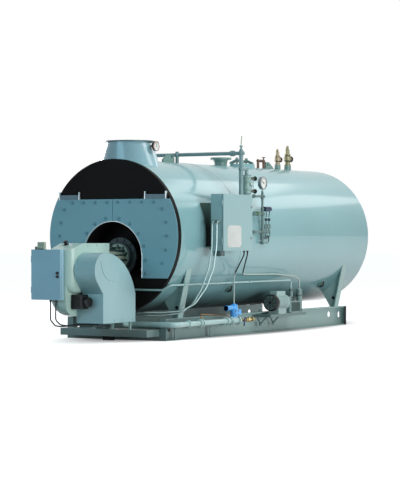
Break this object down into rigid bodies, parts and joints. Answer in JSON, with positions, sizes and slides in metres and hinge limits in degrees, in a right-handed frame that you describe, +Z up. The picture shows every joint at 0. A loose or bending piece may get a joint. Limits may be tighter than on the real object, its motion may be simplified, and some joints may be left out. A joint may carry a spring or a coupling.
{
  "type": "industrial boiler",
  "caption": "Packaged fire-tube steam boiler: horizontal jacketed drum on a steel skid, forced-draught burner at the front, stack outlet, safety valves, gauges and a control cabinet.",
  "frame": {"origin": "on the ground, under the middle of the shell and midway between the rails, on the underside of the middle cross member", "axes": "+Z up; the burner end faces -Y and the shell runs along Y; the control cabinet is on the +X side"},
  "size_m": [2.067, 6.124, 2.434],
  "materials": {
    "jacket_paint": "pale blue-green gloss enamel",
    "door_paint": "mid blue-grey gloss enamel",
    "skid_paint": "grey-green gloss enamel",
    "cabinet_paint": "pale blue-green powder coat",
    "burner_paint": "pale blue-green gloss enamel",
    "black_paint": "black heat-proof enamel",
    "blue_paint": "bright blue enamel",
    "motor_paint": "grey enamel",
    "switch_paint": "dark blue enamel",
    "cast_aluminium": "as cast",
    "conduit_steel": "zinc plated",
    "brass": "plain turned brass",
    "bronze": "dull cast bronze",
    "beige_plastic": "moulded",
    "black_plastic": "moulded",
    "cable_sheath": "black sheath",
    "clear_glass": "clear tube"
  },
  "bodies": {
    "boiler": {"air_compressor": "motor_paint", "air_pipe": "conduit_steel", "blast_tube": "cast_aluminium", "brass_cock": "brass", "burner_air_box": "burner_paint", "burner_cables": "cable_sheath", "burner_control_box": "door_paint", "burner_housing": "burner_paint", "burner_platform": "skid_paint", "burner_posts": "skid_paint", "burner_relay": "beige_plastic", "cabinet_brackets": "jacket_paint", "cabinet_cables": "cable_sheath", "cabinet_junction_box": "cabinet_paint", "compressor_motor": "motor_paint", "compressor_shelf": "skid_paint", "conduits": "conduit_steel", "control_cabinet": "cabinet_paint", "damper_motor": "black_plastic", "door_hangers": "door_paint", "door_left": "door_paint", "door_right": "door_paint", "front_legs": "skid_paint", "front_plate": "black_paint", "fuel_pipe": "jacket_paint", "fuel_pipe_supports": "skid_paint", "fuel_valve": "jacket_paint", "gauge_cocks": "brass", "gauge_glass": "clear_glass", "gauge_manifold": "jacket_paint", "handhole_covers": "jacket_paint", "lifting_lugs": "jacket_paint", "manhole_cover": "jacket_paint", "manhole_ring": "jacket_paint", "platform_foot": "skid_paint", "platform_junction_box": "cabinet_paint", "pressure_gauge": "black_paint", "pressure_switches": "switch_paint", "rear_door": "jacket_paint", "rear_legs": "skid_paint", "rear_plate": "jacket_paint", "safety_valve_large": "bronze", "safety_valve_nozzles": "jacket_paint", "safety_valve_small": "bronze", "shell_front_jacket": "jacket_paint", "shell_rear_jacket": "jacket_paint", "skid_cross_members": "skid_paint", "skid_rail_left": "skid_paint", "skid_rail_right": "skid_paint", "stack_flange": "black_paint", "stack_thermometer": "black_paint", "stack_transition": "jacket_paint", "steam_header": "jacket_paint", "steam_nozzle": "jacket_paint", "valve_actuator": "blue_paint", "vent_fitting": "bronze", "water_column": "jacket_paint"},
    "cabinet_leaf": {"cabinet_door": "cabinet_paint"},
    "control_leaf": {"control_box_door": "door_paint"}
  },
  "joints": [
    {"name": "cabinet_door_hinge", "type": "hinge", "parent": "boiler", "child": "cabinet_leaf", "pos_m": [1.151, -1.937, 1.365], "axis": [0, 0, -1], "range_deg": [0, 120]},
    {"name": "control_box_door_hinge", "type": "hinge", "parent": "boiler", "child": "control_leaf", "pos_m": [-0.373, -3.569, 0.7745], "axis": [0, 0, -1], "range_deg": [0, 110]}
  ]
}
